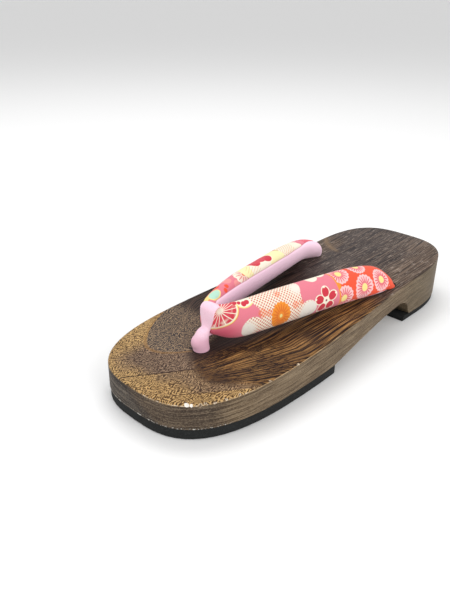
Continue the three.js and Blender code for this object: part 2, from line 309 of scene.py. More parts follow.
def catmull(rows, shares):
    """Smooth curve through table rows, at shares from 0 to 1."""
    rows = np.asarray(rows, float)
    place = np.clip(shares, 0, 1) * (len(rows) - 1)
    index = np.minimum(place.astype(int), len(rows) - 2)
    t = (place - index)[:, None]
    padded = np.vstack([2 * rows[0] - rows[1], rows, 2 * rows[-1] - rows[-2]])
    before, start, end, after = (padded[index + step] for step in range(4))
    leave, arrive = (end - before) / 2, (after - start) / 2
    return (start + leave * t + (3 * (end - start) - 2 * leave - arrive) * t ** 2
            + (2 * (start - end) + leave + arrive) * t ** 3)


def sweep_frames(rows, shares):
    """Centre, direction, upright, sideways and half sizes of the sections at each share."""
    rows = np.asarray(rows, float)
    values = catmull(rows, shares)
    step = 1e-4
    ahead = catmull(rows[:, :3], shares + step) - catmull(rows[:, :3], shares - step)
    ahead /= np.linalg.norm(ahead, axis=1)[:, None]
    lean = np.radians(values[:, 5])
    upright = np.stack([-np.sin(lean), np.zeros_like(lean), np.cos(lean)], 1)
    upright -= ahead * np.sum(upright * ahead, 1)[:, None]
    upright /= np.linalg.norm(upright, axis=1)[:, None]
    return values[:, :3], ahead, upright, np.cross(ahead, upright), values[:, 3], values[:, 4]


def swept_points(rows, steps, sides):
    """Rings of a padded sweep with round caps: points, and each ring's share along the table."""
    cap_rings = 6
    caps = np.sin(np.linspace(math.pi / 2, 0, cap_rings + 1))[:-1]
    shares = np.concatenate([np.zeros(cap_rings), np.linspace(0, 1, steps + 1), np.ones(cap_rings)])
    slides = np.concatenate([-caps, np.zeros(steps + 1), caps[::-1]])
    shrinks = np.sqrt(np.maximum(1 - slides ** 2, 0))
    centre, ahead, upright, sideways, tall, thick = sweep_frames(rows, shares)
    centre = centre + ahead * (slides * thick)[:, None]
    turns = np.linspace(-math.pi, math.pi, sides + 1)
    rings = (centre[:, None]
             + upright[:, None] * ((tall * shrinks)[:, None] * np.cos(turns))[..., None]
             + sideways[:, None] * ((thick * shrinks)[:, None] * np.sin(turns))[..., None])
    return rings, shares


def grid_piece(name, rings, layers=None):
    """A closed tube from rings of points in millimetres, made from a grid whose long edges are joined.
    Each layer gives the two pattern coordinates of every point."""
    rows, columns = rings.shape[:2]
    deselect_all()
    bpy.ops.mesh.primitive_grid_add(x_subdivisions=columns - 1, y_subdivisions=rows - 1, size=2)
    piece = take_new(name)
    corner = coordinates(piece)
    column = np.rint((corner[:, 0] + 1) / 2 * (columns - 1)).astype(int)
    row = np.rint((corner[:, 1] + 1) / 2 * (rows - 1)).astype(int)
    place_vertices(piece, rings[row, column] * MM)
    corners = np.empty(len(piece.data.loops), int)
    piece.data.loops.foreach_get("vertex_index", corners)
    for layer_name, values in (layers or {}).items():
        layer = piece.data.uv_layers.new(name=layer_name)
        layer.data.foreach_set("uv", values[row[corners], column[corners]].ravel())
    piece.data.uv_layers.remove(piece.data.uv_layers[0])
    select_only(piece)
    bpy.ops.object.mode_set(mode="EDIT")
    bpy.ops.mesh.select_all(action="SELECT")
    bpy.ops.mesh.remove_doubles(threshold=0.01 * MM)
    turn_faces_outward()
    return piece


def both_ways(operation):
    """Two methods that add one Math node, with the value on its left and on its right."""
    return (lambda value, other: value.maths(operation, value, other),
            lambda value, other: value.maths(operation, other, value))


def one_sided(operation):
    return lambda value: value.maths(operation, value)


class Value:
    """A shader socket that takes part in Python arithmetic by adding Math nodes."""

    def __init__(self, shader, socket):
        self.shader = shader
        self.socket = socket

    def maths(self, operation, *operands):
        return self.shader.add("ShaderNodeMath", {"operation": operation}, *operands)

    __add__, __radd__ = both_ways("ADD")
    __sub__, __rsub__ = both_ways("SUBTRACT")
    __mul__, __rmul__ = both_ways("MULTIPLY")
    __truediv__ = both_ways("DIVIDE")[0]
    __pow__ = both_ways("POWER")[0]
    __mod__ = both_ways("FLOORED_MODULO")[0]
    least, most = both_ways("MINIMUM")[0], both_ways("MAXIMUM")[0]
    __abs__, sine, cosine = one_sided("ABSOLUTE"), one_sided("SINE"), one_sided("COSINE")

    def above(self, edge, blur):
        """1 above an edge and 0 below it, with a soft step between."""
        return self.shader.ramp_between(self, edge - blur / 2, edge + blur / 2, 0.0, 1.0)

    def below(self, edge, blur):
        return self.shader.ramp_between(self, edge - blur / 2, edge + blur / 2, 1.0, 0.0)

    def near(self, middle, reach, blur):
        """1 within a distance of a middle value."""
        return abs(self - middle).below(reach, blur)


class Shader:
    """One material, whose nodes are added from Python expressions."""

    def __init__(self, name):
        self.material = bpy.data.materials.new(name)
        self.material.use_nodes = True
        self.nodes = self.material.node_tree.nodes
        self.links = self.material.node_tree.links
        self.surface = self.nodes["Principled BSDF"]

    def feed(self, socket, value):
        if isinstance(value, Value):
            self.links.new(value.socket, socket)
        elif isinstance(value, tuple) and socket.type == "RGBA":
            socket.default_value = (*value[:3], 1.0)
        elif value is not None:
            socket.default_value = value

    def add(self, kind, settings, *inputs, output=0, **named):
        """Adds a node, sets it up, feeds its sockets in order or by name, and gives one output."""
        node = self.nodes.new(kind)
        for name, setting in settings.items():
            setattr(node, name, setting)
        for socket, value in zip(node.inputs, inputs):
            self.feed(socket, value)
        for name, value in named.items():
            self.feed(node.inputs[name.replace("_", " ")], value)
        return Value(self, node.outputs[output])

    def ramp_between(self, value, low, high, start, end):
        return self.add("ShaderNodeMapRange", {"interpolation_type": "SMOOTHSTEP"},
                        value, low, high, start, end)

    def place(self):
        """The three Object coordinates, in millimetres."""
        coordinate = self.add("ShaderNodeTexCoord", {}, output="Object")
        return self.split(coordinate, 1 / MM)

    def pattern_place(self, layer):
        """The two coordinates of a pattern layer, in millimetres."""
        return self.split(self.add("ShaderNodeUVMap", {"uv_map": layer}), 1.0)[:2]

    def split(self, vector, scale):
        node = self.nodes.new("ShaderNodeSeparateXYZ")
        scaled = self.add("ShaderNodeVectorMath", {"operation": "MULTIPLY"}, vector, (scale,) * 3)
        self.links.new(scaled.socket, node.inputs[0])
        return [Value(self, output) for output in node.outputs]

    def join(self, *parts):
        return self.add("ShaderNodeCombineXYZ", {}, *parts)

    def noise(self, detail, *place):
        """Noise of about unit grain size, from 0 to 1."""
        return self.add("ShaderNodeTexNoise", {}, Vector=self.join(*place), Scale=1.0, Detail=detail,
                        Roughness=0.5, Distortion=0.0)

    def mix(self, factor, first, second):
        node = self.nodes.new("ShaderNodeMix")
        node.data_type = "RGBA"
        self.feed(node.inputs["Factor"], factor)
        self.feed(node.inputs[6], first)
        self.feed(node.inputs[7], second)
        return Value(self, node.outputs[2])

    def layered(self, ground, *layers):
        """A ground colour under masks, each with the colour it lays down."""
        for mask, colour in layers:
            ground = self.mix(mask, ground, colour)
        return ground

    def bump(self, height, distance, strength=1.0):
        return self.add("ShaderNodeBump", {}, Strength=strength, Distance=distance * MM, Height=height)

    def finish(self, colour, roughness, normal=None, **constants):
        self.feed(self.surface.inputs["Base Color"], colour)
        self.feed(self.surface.inputs["Roughness"], roughness)
        if normal is not None:
            self.feed(self.surface.inputs["Normal"], normal)
        for name, value in constants.items():
            self.feed(self.surface.inputs[name.replace("_", " ")], value)
        return self.material


def shade(red, green, blue):
    """A colour as it looks on a screen, from 0 to 255, turned into light values."""
    return tuple(((part / 255 + 0.055) / 1.055) ** 2.4 for part in (red, green, blue))


# Chips and nicks in the near top edge: place along, reach round the edge, depth, all in millimetres.
EDGE_NICKS = [
    (-109.3, 1.5, 0.6), (-108.2, 1.1, 0.45), (-105.2, 1.3, 0.35), (-103.2, 1.1, 0.35), (-99.2, 1.3, 0.4),
    (-94.6, 1.0, 0.3), (-88.6, 1.2, 0.3), (-71.0, 1.6, 0.3), (-52.0, 1.4, 0.3),
]

# The seam between printed cloth and lining: place along the strap, then distance outward from the crest.
NEAR_SEAM = [(0, -3.0), (30, -2.5), (60, -2.0), (85, -2.0), (98, -3.0), (108, -12.0), (120, -22.0)]
FAR_SEAM = [
    (0, -3.0), (22, -4.2), (36, -4.8), (55, -4.0), (80, -2.4), (96, 0.0), (107, 3.0), (118, 6.5), (127, 10.0),
]


# Grain of the tread, as seen from above: nested growth curves that open towards the heel.
GROWTH_AXIS, GROWTH_BEND, DARK_WEDGE_APEX = -18.0, 0.05, -90.5
FAN_START, FAN_LENGTH = -104.0, 62.0


class Grain:
    """The wood's own coordinates and noises, shared by its colour, gloss and relief."""

    def __init__(self, shader):
        self.shader = shader
        self.x, self.y, self.z = shader.place()
        share = self.y / SOLE_LENGTH + 0.5
        sag = share * (1 - share) * (4 * TREAD_SAG)
        self.depth = share * (HEEL_HEIGHT - TOE_HEIGHT) + TOE_HEIGHT - sag - self.z
        self.top = self.depth.below(0.9, 0.7)
        drift = self.grid(26, 120, 26, detail=2) - 0.5
        fan = ((self.y - FAN_START) / FAN_LENGTH).most(0.03).least(1.0) ** 0.5
        self.across = self.x / fan + drift * 11
        self.fine = self.streaks(0.46, 30, 1.5)
        self.coarse = self.streaks(1.3, 60, 2)
        self.broad = self.streaks(5.5, 130, 3)
        self.patch = self.grid(15, 22, 15, detail=3)
        self.wander = (self.patch - 0.5) * 18

    def grid(self, wide, long, high, detail):
        """Noise with grains of a given size along each axis."""
        return self.shader.noise(detail, self.x / wide, self.y / long, self.z / high)

    def streaks(self, wide, long, detail):
        """Noise drawn out along the drifting grain of the tread."""
        return self.shader.noise(detail, self.across / wide, self.y / long, 0.0)

    def layers(self, thick, long, detail):
        """Noise drawn out round the side walls, level with the tread."""
        level = self.depth + self.wander * 0.12
        return self.shader.noise(detail, self.x / long, self.y / long, level / thick)

    def flecks(self, degrees, wide, long):
        """Short crisp dashes laid at an angle across the tread."""
        turn = math.radians(degrees)
        along = self.x * math.sin(turn) + self.y * math.cos(turn)
        aside = self.x * math.cos(turn) - self.y * math.sin(turn)
        curl = self.shader.noise(1, along / 9, aside / 9, 0.0) * 6
        wave = ((aside + curl) * (math.pi / wide)).sine()
        broken = self.shader.noise(1, (aside + curl) / wide, along / long, 0.0)
        return broken + wave * 0.12


def toe_tread(grain, fleck):
    """Flecked gold round the toe, a browner field inside it and a grey wedge that opens to the heel."""
    shader = grain.shader
    x, y, wander = grain.x, grain.y, grain.wander
    light_dash, dark_dash = fleck.above(0.53, 0.04), fleck.below(0.46, 0.04)
    curve = y + 116.5 - (x + 9) * 1.42 + wander * 0.12
    second_curve = y + 113 - (x - 16) * 1.3 + wander * 0.14
    inner = curve.above(0, 0.8) * (y + wander * 0.8).above(-108, 12) * x.above(-24, 12)
    inner = inner.most(second_curve.above(0, 0.8) * curve.below(0, 0.8) * (y + wander).above(-104, 10) * 0.7)
    off_axis = x - GROWTH_AXIS
    bowl = off_axis * off_axis * GROWTH_BEND
    wedge = (y - bowl + wander * 0.12).above(DARK_WEDGE_APEX, 0.9) * x.below(2, 6)
    hem = (y - bowl + wander * 0.12).near(DARK_WEDGE_APEX - 1.2, 0.9, 0.8) * x.below(0, 5)
    gold = shader.layered(
        shade(134, 102, 64), (x.below(2, 22), shade(160, 130, 88)),
        (dark_dash * 0.9, shade(66, 44, 28)), (light_dash * 0.9, shade(206, 168, 112)))
    brown = shader.layered(
        shade(96, 75, 61), (dark_dash * 0.9, shade(54, 40, 37)), (light_dash * 0.9, shade(150, 125, 102)))
    grey = shader.layered(
        shade(86, 75, 70), (dark_dash * 0.9, shade(46, 42, 46)), (light_dash * 0.9, shade(156, 132, 104)))
    return shader.layered(
        gold, (inner, brown), (hem * 0.5, shade(150, 112, 66)), (wedge, grey),
        (curve.near(0, 0.6, 0.5) * y.below(-86, 6) * 0.95, shade(52, 33, 28)),
        (second_curve.near(0, 0.4, 0.6) * y.below(-90, 6) * 0.75, shade(62, 40, 30)))


def streaked_tread(grain):
    """The colours behind the toe: golden streaks near the edge, dark at the middle, grey at the heel, partly a
    painted sheen.
    """
    shader = grain.shader
    x, y, wander = grain.x, grain.y, grain.wander
    thin_light, thin_dark = grain.fine.above(0.54, 0.07), grain.fine.below(0.46, 0.07)
    band = grain.coarse.above(0.5, 0.12)
    dash = grain.streaks(0.75, 3.2, 1).below(0.46, 0.08) * (y + wander).below(-46, 24)
    gold = shader.layered(
        shade(50, 31, 22), (band * 0.8, shade(94, 62, 35)), (thin_dark, shade(27, 15, 12)),
        (thin_light * 0.85, shade(148, 108, 62)), (dash, shade(36, 21, 17)),
        (grain.patch.above(0.56, 0.10) * (1 - thin_light * 0.6) * 0.7, shade(40, 24, 20)),
        (grain.patch.below(0.42, 0.12) * thin_light * 0.6, shade(186, 138, 82)))
    dark = shader.layered(
        shade(32, 22, 21), (band, shade(52, 36, 30)), (thin_dark, shade(18, 11, 12)),
        (thin_light * 0.75, shade(88, 68, 58)))
    grey_band = grain.broad.above(0.5, 0.16)
    far_edge = (x + wander * 0.8).below(-24, 9) * y.near(66, 16, 16)
    brown = ((x + wander).above(20, 18) * 0.8).most(far_edge * 0.8)
    near_half = (x + wander).above(2, 26)
    # The heel's grey, with its lighter grey bands, is partly a painted sheen: a reflection of the light laid
    # over the dark wood.
    heel = shader.layered(
        shade(58, 51, 51), (grey_band * 0.8, shade(78, 70, 68)), (brown * 0.7, shade(100, 80, 62)),
        (thin_dark * 0.7, shade(38, 32, 33)), (thin_light * (near_half * 0.4 + 0.4), shade(124, 106, 92)),
        (grain.streaks(0.4, 7, 1).above(0.64, 0.04) * 0.55, shade(178, 162, 148)))
    golden = (x + wander * 0.5 - (y + 40) * 0.10 - (y + 50).least(0.0) * 0.15).above(15, 9)
    golden = golden.most((x + wander * 0.3).above(33, 5) * y.below(40, 60))
    behind = (y + wander * 1.2).above(30, 34)
    swirl = ((y - 95) ** 2 + (x + 11) ** 2) ** 0.5 + wander * 0.1
    swirl = swirl.near(31, 1.4, 3.2) * x.below(-18, 6) * y.below(92, 8)
    heel = shader.mix(swirl * 0.5, heel, shade(142, 116, 88))
    return shader.layered(dark, (golden * (y + wander).below(24, 34), gold), (behind, heel))


def side_wall(grain):
    """Grain of the walls, brown along the near side and smoky round the toe."""
    shader = grain.shader
    x, y = grain.x, grain.y
    fine, coarse = grain.layers(0.34, 16, 2), grain.layers(1.2, 44, 2)
    pore = grain.grid(0.7, 1.1, 0.5, detail=1)
    thin_light, thin_dark = fine.above(0.54, 0.08), fine.below(0.46, 0.08)
    brown = shader.layered(
        shade(98, 82, 63), (coarse.above(0.5, 0.25), shade(115, 97, 75)),
        (thin_dark * 0.6, shade(70, 55, 43)), (thin_light * 0.5, shade(150, 132, 107)),
        (y.above(56, 20) * 0.45, shade(86, 78, 62)))
    smoky = shader.layered(
        shade(66, 60, 56), (coarse.above(0.5, 0.14), shade(92, 84, 76)),
        (thin_dark * 0.8, shade(40, 35, 34)), (thin_light * 0.5, shade(124, 114, 102)))
    amber = shader.layered(
        shade(72, 60, 50), (coarse.above(0.5, 0.22), shade(88, 74, 61)),
        (thin_dark * 0.6, shade(50, 41, 36)), (thin_light * 0.5, shade(124, 108, 90)))
    toe_end = (y + x * 0.25 + grain.wander * 0.4).below(-88, 16)
    slant = grain.depth * 1.6 - x + grain.wander * 0.3
    scorch = slant.near(9, 2.5, 7) * (coarse.below(0.52, 0.2) * 0.3 + 0.4)
    return shader.layered(
        brown, (toe_end, shader.layered(amber, (slant.above(6, 8), smoky), (scorch, shade(44, 34, 30)))),
        (pore.below(0.42, 0.08) * (toe_end * 0.25 + 0.22), shade(50, 42, 36)),
        (pore.above(0.6, 0.08) * 0.22, shade(158, 142, 118)))


def burnt_wood(settings):
    """Brushed and scorched wood: flecked gold at the toe, dark with orange streaks, grey at the heel with a
    painted sheen.
    """
    shader = Shader("burnt_wood")
    grain = Grain(shader)
    x, y, wander = grain.x, grain.y, grain.wander
    turn_rows = shader.noise(1, (x + y) / 8, (x - y) / 2.6, 0.0).above(0.5, 0.06)
    fleck = grain.flecks(52, 0.54, 1.6) * turn_rows + grain.flecks(-20, 0.54, 1.6) * (1 - turn_rows)
    front = (y + (x - 18).least(0.0) * 0.55 - (x - 21).most(0.0) * 0.7 + wander * 0.7).below(-92.5, 9.0)
    front = front.most(x.below(-1.5, 3) * (y + wander).below(-50, 14))
    # Painted shade under the straps' fork behind the thong, over darker burnt wood.
    burn_and_shade_by_thong = x.near(3, 8, 9) * y.near(-64, 16, 10)
    tread = shader.layered(
        streaked_tread(grain), (front, toe_tread(grain, fleck)),
        (burn_and_shade_by_thong * (grain.fine.below(0.5, 0.12) * 0.5 + 0.1), shade(34, 23, 22)))
    wall = side_wall(grain)
    lip = grain.depth.near(0.75, 0.16, 0.22) * x.above(4, 10) * (y + wander).below(-10, 30)
    # A pale broken line along the near top edge: real wear, with a painted highlight where the edge catches the
    # light.
    wear_and_glint = lip * (grain.layers(2.5, 5, 2).above(0.5, 0.3) * 0.7 + 0.2)
    chipped = lip * grain.layers(2.0, 1.5, 2).above(0.54, 0.06) * (y + wander).below(-82, 12)
    bottom = grain.z - FRONT_WOOD_BOTTOM
    glue = bottom.below(0.55, 0.3) * grain.grid(1.1, 1.1, 0.6, detail=2).above(0.58, 0.05)
    wood = shader.layered(
        shader.mix(grain.top, wall, tread), (wear_and_glint, shade(190, 160, 120)),
        (chipped * 0.8, shade(226, 210, 186)),
        (glue * y.below(-92, 14), shade(206, 202, 194)),
        # Painted shade inside the holes and at their rims.
        (hole_shade(x, y, grain.depth), shade(22, 17, 15)))
    height = grain.fine * 0.7 + fleck * front * 0.8 + grain.coarse * 0.3
    rough = grain.fine * 0.16 + 0.44 + front * 0.08
    return shader.finish(wood, rough, shader.bump(height, 0.32, 0.8), Specular_IOR_Level=0.12)


def hole_shade(x, y, depth):
    """Painted shade: 1 inside the holes below the tread, and on a thin dark ring at each rim."""
    rings = None
    for radius, out, along in ((FRONT_HOLE_RADIUS, 0, FRONT_HOLE_ALONG),
                               (REAR_HOLE_RADIUS, REAR_HOLE_OUT, REAR_HOLE_ALONG),
                               (REAR_HOLE_RADIUS, -REAR_HOLE_OUT, REAR_HOLE_ALONG)):
        distance = ((x - out) ** 2 + (y - along) ** 2) ** 0.5
        ring = distance.below(radius + 0.35, 0.7)
        rings = ring if rings is None else rings.most(ring)
    return rings * depth.below(14, 4)


def bare_wood(settings):
    """Freshly broken wood inside the chips."""
    shader = Shader("bare_wood")
    x, y, z = shader.place()
    fibre = shader.noise(2, x / 0.4, y / 2.5, z / 0.4)
    fresh = y.below(-107.0, 1.0)
    stained = shader.mix(fibre.above(0.5, 0.2), shade(96, 72, 50), shade(214, 196, 170))
    colour = shader.mix(fresh, stained, shade(240, 234, 226))
    return shader.finish(colour, 0.8, shader.bump(fibre, 0.2, 0.8), Specular_IOR_Level=0.25)


def black_rubber(settings):
    """Foamed rubber sheet with a fine open grain."""
    shader = Shader("black_rubber")
    x, y, z = shader.place()
    grain = shader.noise(2, x / 0.55, y / 0.55, z / 0.55)
    cloud = shader.noise(2, x / 8, y / 8, z / 3)
    bloom = (y - x * 0.4).below(-96, 26) * cloud.above(0.46, 0.2)
    colour = shader.layered(
        shade(19, 20, 20), (grain.above(0.55, 0.16) * 0.5, shade(38, 39, 39)),
        (bloom * 0.12, shade(44, 49, 49)))
    rough = 0.82 - grain.above(0.6, 0.2) * 0.1
    return shader.finish(colour, rough, shader.bump(grain, 0.18, 0.7), Specular_IOR_Level=0.3)


# Dye colours of the printed cloth.
PINK = shade(230, 125, 143)
ROSE = shade(222, 74, 92)
RED = shade(206, 40, 64)
CREAM = shade(249, 241, 220)
CHALK = shade(236, 231, 220)
VERMILION = shade(240, 80, 44)
CORAL = shade(232, 122, 84)
ORANGE = shade(243, 147, 36)
AMBER = shade(226, 112, 24)
LEMON = shade(245, 228, 142)
BLUSH = shade(250, 200, 200)
MINT = shade(180, 230, 208)


class Cloth:
    """A print drawn motif by motif. Places are (along the strap, outward from its crest), in millimetres."""

    def __init__(self, shader, ground):
        self.shader = shader
        self.u, self.v = shader.pattern_place("pattern")
        wobble = shader.noise(1, self.u / 3, self.v / 3, 0.0)
        self.soft = (wobble - 0.5) * 0.5
        self.colour = ground

    def lay(self, mask, colour):
        self.colour = self.shader.mix(mask, self.colour, colour)

    def polar(self, at, height=1.0):
        """Distance and turn about a place, where height stretches the motif across the strap."""
        du = self.u - at[0]
        dv = (self.v - at[1]) / height
        return (du * du + dv * dv) ** 0.5, self.shader.add(
            "ShaderNodeMath", {"operation": "ARCTAN2"}, dv, du)

    def disc(self, at, radius, height=1.0, blur=0.3):
        return (self.polar(at, height)[0] + self.soft).below(radius, blur)

    def discs(self, *rows):
        """The union of discs, each row an along, an outward and a radius."""
        union = None
        for along, outward, radius in rows:
            one = self.disc((along, outward), radius)
            union = one if union is None else union.most(one)
        return union

    def gap(self, reach, turn, petals):
        """Distance to the nearest line between two petals."""
        return abs((turn * (petals / 2)).sine()) * reach * (2 / petals)

    def fan(self, at, radius, petals):
        """A chrysanthemum cut as a fan: rose petals between white rays, in a cream and yellow ring."""
        reach, turn = self.polar(at)
        reach = reach + self.soft * 0.5
        self.lay(reach.below(radius, 0.3), AMBER)
        self.lay(reach.below(radius - 0.25, 0.3), LEMON)
        self.lay(reach.below(radius - 0.75, 0.4), CREAM)
        petal = reach.below(radius * 0.86, 0.5) * self.gap(reach, turn, petals).above(0.17, 0.2)
        bleached = reach.above(radius * 0.62, 2.0) * self.soft.above(0.02, 0.12)
        self.lay(petal, self.shader.layered(RED, (reach.below(radius * 0.6, radius * 0.7), ROSE),
                                            (bleached * 0.6, CREAM)))
        self.lay(reach.below(radius * 0.15, 0.5), CREAM)

    def aster(self, at, radius, height=1.0, petals=18, petal=BLUSH, ray=ROSE, centre=LEMON, heart=0.30):
        """A round flower with a scalloped edge, thin rays and a plain heart."""
        reach, turn = self.polar(at, height)
        scallop = abs((turn * (petals / 2)).cosine())
        self.lay((reach + self.soft * 0.4 - scallop * (radius * 0.09)).below(radius * 0.93, 0.3), petal)
        self.lay(reach.below(radius * 0.62, radius * 0.4) * 0.6, self.shader.mix(0.45, petal, ray))
        lines = self.gap(reach, turn, petals).below(0.24, 0.2)
        self.lay(lines * reach.near(radius * 0.58, radius * 0.26, radius * 0.1), ray)
        self.lay(reach.below(radius * heart, 0.35), centre)

    def blossom(self, at, radius, turn_by, petal=RED):
        """A cherry blossom: five notched petals with a white edge."""
        reach, turn = self.polar(at)
        fifth = 2 * math.pi / 5
        folded = (turn + turn_by) % fifth - fifth / 2
        out = reach * folded.cosine() - radius * 0.62
        aside = reach * folded.sine()
        petal_reach = (out * out * 0.7 + aside * aside) ** 0.5
        notch = (out - radius * 0.28).above(0, 0.3) * abs(aside).below(radius * 0.07, 0.25)
        self.lay(petal_reach.below(radius * 0.38, 0.3), CREAM)
        self.lay(petal_reach.below(radius * 0.31, 0.3) * (1 - notch), petal)
        self.lay(reach.below(radius * 0.28, 0.5), CREAM)
        self.lay(reach.below(radius * 0.08, 0.3), shade(120, 40, 60))

    def dots(self, mask, pitch, share, colour):
        """Tie-dyed dots in slanting rows, where a mask lies."""
        rows = abs(((self.u + self.v) / pitch) % 1.0 - 0.5)
        lanes = abs(((self.u - self.v) / pitch) % 1.0 - 0.5)
        self.lay(rows.most(lanes).below(share, 0.10) * mask, colour)


def near_layout(cloth):
    """The near strap's flowers, cloud and vermilion end."""
    shader, u, v = cloth.shader, cloth.u, cloth.v
    cloth.fan((1.6, 4.0), 9.3, 17)
    cloth.lay(cloth.disc((15.2, -0.6), 6.2), LEMON)
    cloth.lay(cloth.disc((15.2, -0.6), 5.6), CREAM)
    cloth.lay(cloth.discs((9.3, 1.0, 1.5), (11.8, 1.8, 1.1), (14.3, 3.0, 1.5), (16.1, 2.6, 1.4)), RED)
    cloud = cloth.discs((27.0, 1.5, 8.4), (39.5, 2.5, 8.7), (16.8, 16.6, 5.6), (50.0, 18.4, 5.8))
    cloud = cloud.most((u + cloth.soft).near(34.0, 12.5, 0.3))
    plain = (cloth.disc((13.6, 17.4), 5.0, blur=4.0).most(cloth.disc((51.0, 19.0), 6.0, blur=2.5))
             .most(cloth.disc((45.6, 4.0), 3.6, blur=4.0)))
    cloth.lay(cloud, shader.mix(plain, CREAM, CHALK))
    dense = cloth.discs(
        (22.6, 10.6, 2.4), (26.4, 11.8, 1.9), (33.6, 4.2, 1.7), (42.2, 12.6, 2.0), (46, 12.4, 1.4))
    cloth.dots(cloud * (1 - plain), 1.9, 0.30, shade(208, 112, 98))
    cloth.dots(dense, 1.9, 0.42, CORAL)
    cloth.aster((33.0, 15.6), 5.8, 1.28, 18, ORANGE, AMBER, LEMON, 0.14)
    cloth.blossom((62.3, 16.4), 7.4, 0.94)
    cloth.lay(cloth.discs((59.0, 0.4, 4.0), (66.0, -1.6, 4.2)), CREAM)
    ground = cloth.colour
    edge = u + v * -0.10 + cloth.soft
    cloth.lay(edge.above(70.6, 0.3), VERMILION)
    for at, radius, height in (((76.0, 5.0), 6.6, 1.0), ((91.4, 3.6), 6.0, 0.95), ((75.2, 19.6), 6.6, 1.06),
                               ((90.4, 17.4), 6.7, 1.10), ((103.8, 15.4), 5.8, 1.18), ((104.0, -1.0), 4.0, 1.0),
                               ((83.4, -7.0), 5.0, 1.0), ((104.5, 26.5), 4.0, 1.0), ((83.0, 27.5), 4.0, 1.0)):
        cloth.aster(at, radius, height)
    cloth.lay(edge.near(70.4, 0.5, 0.3), ORANGE)
    cloth.lay(cloth.disc((71.8, 11.6), 1.9), ORANGE)
    cloth.colour = shader.mix(edge.below(70.0, 0.3), cloth.colour, ground)
    # Painted shade: deeper pink on the strap's lower side beside the thong.
    gathered = u.below(9, 8) * v.above(13, 6)
    cloth.lay(gathered * 0.8, shade(206, 76, 104))


def far_layout(cloth):
    """The far strap's flowers: mint, red petals, pale yellow and a dotted cloud."""
    u, v = cloth.u, cloth.v
    cloth.lay(cloth.disc((20.5, 14.0), 9.6), VERMILION)
    cloth.lay(cloth.disc((2.4, 6.0), 5.2), ORANGE)
    cloth.lay(cloth.disc((2.4, 6.0), 4.6), LEMON)
    cloth.lay(cloth.disc((7.6, -0.2), 6.4, 0.52), LEMON)
    cloth.lay(cloth.disc((7.6, -0.2), 5.7, 0.44), MINT)
    cloth.lay(cloth.discs((17.8, -2.6, 1.4), (20.4, -1.2, 1.3), (16.0, 3.6, 2.4)), VERMILION)
    cloth.lay(cloth.discs((24.6, 1.6, 2.6), (28.2, -3.6, 2.2)), shade(240, 150, 150))
    cloth.aster((36.8, -1.2), 7.0, 0.8, 11, CREAM, ROSE, CORAL, 0.2)
    pale = shade(248, 242, 184)
    cloth.lay(cloth.discs((41.6, 0.2, 5.2), (44.6, 5.4, 4.6), (39.4, 7.6, 3.4)), pale)
    leaf = ((64.6, 0.6, 4.8), (69.0, 5.4, 6.6), (72.4, -1.0, 5.0), (65.4, 11.0, 4.2))
    cloth.lay(cloth.discs(*((along, out, radius + 0.7) for along, out, radius in leaf)), shade(196, 182, 70))
    cloth.lay(cloth.discs(*leaf), pale)
    cloth.lay(cloth.discs((48.0, -2.0, 4.2), (53.6, -2.6, 3.8), (58.6, -2.4, 3.4)), CREAM)
    cloth.lay(cloth.discs((51.4, 3.6, 5.0), (57.2, 5.8, 6.2), (62.0, 2.4, 4.4)), CREAM)
    cloth.lay(cloth.discs((51.4, 3.6, 4.4), (57.2, 5.8, 5.6), (62.0, 2.4, 3.8)), RED)
    petal_rows = abs(((u * 0.9 + v * 1.6) / 3.4) % 1.0 - 0.5).below(0.1, 0.14)
    cloth.lay(petal_rows * cloth.discs((52.6, 3.6, 3.8), (58.0, 5.2, 4.6)) * 0.8, shade(242, 120, 128))
    feather = abs(((u * 1.2 - v * 2.0) / 3.6) % 1.0 - 0.5).below(0.09, 0.1)
    cloth.lay(feather * cloth.discs((43.5, -1.0, 3.6), (48.5, -2.6, 3.0)) * 0.7, shade(232, 170, 120))
    cloud = cloth.discs(
        (82.0, 2.4, 6.0), (89.6, 4.6, 7.2), (93.6, -1.0, 5.2), (84.0, 9.6, 5.0), (79.2, -3.0, 3.2))
    cloth.lay(cloud, CREAM)
    cloth.dots(cloud * u.below(90, 2), 1.9, 0.26, shade(238, 170, 132))
    cloth.lay((u + v * 0.2 + cloth.soft).above(104.0, 0.4), shade(228, 92, 112))
    cloth.fan((58.0, 17.0), 9.0, 20)
    cloth.aster((20.5, 14.0), 6.6, 1.0)
    cloth.aster((84.0, 15.0), 6.4, 1.0, 18, ORANGE, AMBER, LEMON, 0.14)
    cloth.blossom((37.5, 15.5), 7.0, 0.2)
    cloth.blossom((99.4, 13.0), 5.6, 0.9)
    cloth.aster((113.0, 12.0), 5.4, 1.0)
    cloth.aster((6.0, 13.5), 6.0, 1.0)


